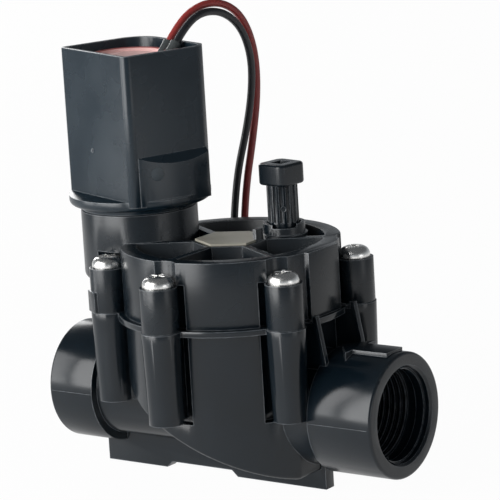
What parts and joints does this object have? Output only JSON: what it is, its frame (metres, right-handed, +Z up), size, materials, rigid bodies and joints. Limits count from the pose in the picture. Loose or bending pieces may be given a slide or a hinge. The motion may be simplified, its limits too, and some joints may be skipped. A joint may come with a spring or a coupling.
{
  "type": "solenoid valve",
  "caption": "In-line plastic solenoid valve: threaded ports, screwed bonnet over a diaphragm, manual bleed screw, and a screw-in solenoid with two lead wires.",
  "frame": {"origin": "on the bonnet's axis at the underside of the foot, midway between the port faces", "axes": "+X along the pipe line out of the inlet port, +Y to the side where the leads hang, +Z up through the bonnet"},
  "size_m": [0.111, 0.1121, 0.1323],
  "materials": {
    "body_plastic": "satin black moulded plastic, glossier on the ports",
    "bonnet_plastic": "fine-grained black moulded plastic",
    "case_plastic": "satin slate-black moulded plastic",
    "screw_steel": "bright stainless",
    "tan_plate": "flat tan",
    "black_rubber": "matt black rubber",
    "white_plastic": "satin white moulded plastic",
    "stainless": "drawn stainless steel",
    "copper": "enamelled or bare copper",
    "resin": "cast resin",
    "pink_cap": "salmon-pink disc with a darker red rim",
    "sleeve": "pale sleeve",
    "red_wire": "red insulation",
    "black_wire": "black insulation"
  },
  "bodies": {
    "base": {"valve_body": "body_plastic", "bonnet": "bonnet_plastic", "bonnet_screws": "screw_steel", "nameplate": "tan_plate", "diaphragm": "black_rubber", "diaphragm_spring": "stainless", "pilot_seat": "white_plastic"},
    "plate": {"diaphragm_plate": "white_plastic", "seat_disc": "black_rubber", "diaphragm_stem": "stainless", "filter_screen": "white_plastic"},
    "bleed_ring": {"bleed_o_ring": "black_rubber"},
    "bleed_screw": {"bleed_screw": "body_plastic"},
    "solenoid_ring": {"solenoid_o_ring": "black_rubber"},
    "solenoid": {"solenoid_housing": "case_plastic", "coil_bobbin": "white_plastic", "coil_winding": "copper", "flux_frame": "stainless", "core_tube": "stainless", "pole_piece": "stainless", "plunger_spring": "stainless", "potting_cover": "resin", "coil_cap": "pink_cap", "lead_sleeves": "sleeve", "lead_tips": "copper", "red_lead": "red_wire", "black_lead": "black_wire", "red_lead_coil": "red_wire", "black_lead_coil": "black_wire"},
    "plunger": {"plunger": "stainless", "plunger_seal": "black_rubber"}
  },
  "joints": [
    {"name": "diaphragm_lift", "type": "slide", "parent": "base", "child": "plate", "axis": [0, 0, 1], "range_m": [0, 0.0045], "stiffness_N_per_m": 400, "springref_m": -0.01, "deforming": ["diaphragm", "diaphragm_spring"]},
    {"name": "solenoid_rise", "type": "slide", "parent": "base", "child": "solenoid_ring", "axis": [0, 0, 1], "range_m": [0, 0.00045]},
    {"name": "solenoid_turn", "type": "hinge", "parent": "solenoid_ring", "child": "solenoid", "pos_m": [-0.0315, 0, 0.0732], "axis": [0, 0, 1], "range_deg": [0, 90]},
    {"name": "plunger_lift", "type": "slide", "parent": "solenoid", "child": "plunger", "axis": [0, 0, 1], "range_m": [0, 0.0016], "stiffness_N_per_m": 300, "springref_m": -0.003, "deforming": ["plunger_spring"]},
    {"name": "bleed_rise", "type": "slide", "parent": "base", "child": "bleed_ring", "axis": [0, 0, 1], "range_m": [0, 0.00135]},
    {"name": "bleed_turn", "type": "hinge", "parent": "bleed_ring", "child": "bleed_screw", "pos_m": [0.0084, 0.0145, 0.066], "axis": [0, 0, 1], "range_deg": [0, 270]}
  ],
  "couplings": [
    {"joint": "solenoid_turn", "follows": "solenoid_rise", "rad_per_m": 3490.7},
    {"joint": "bleed_turn", "follows": "bleed_rise", "rad_per_m": 3490.7}
  ]
}
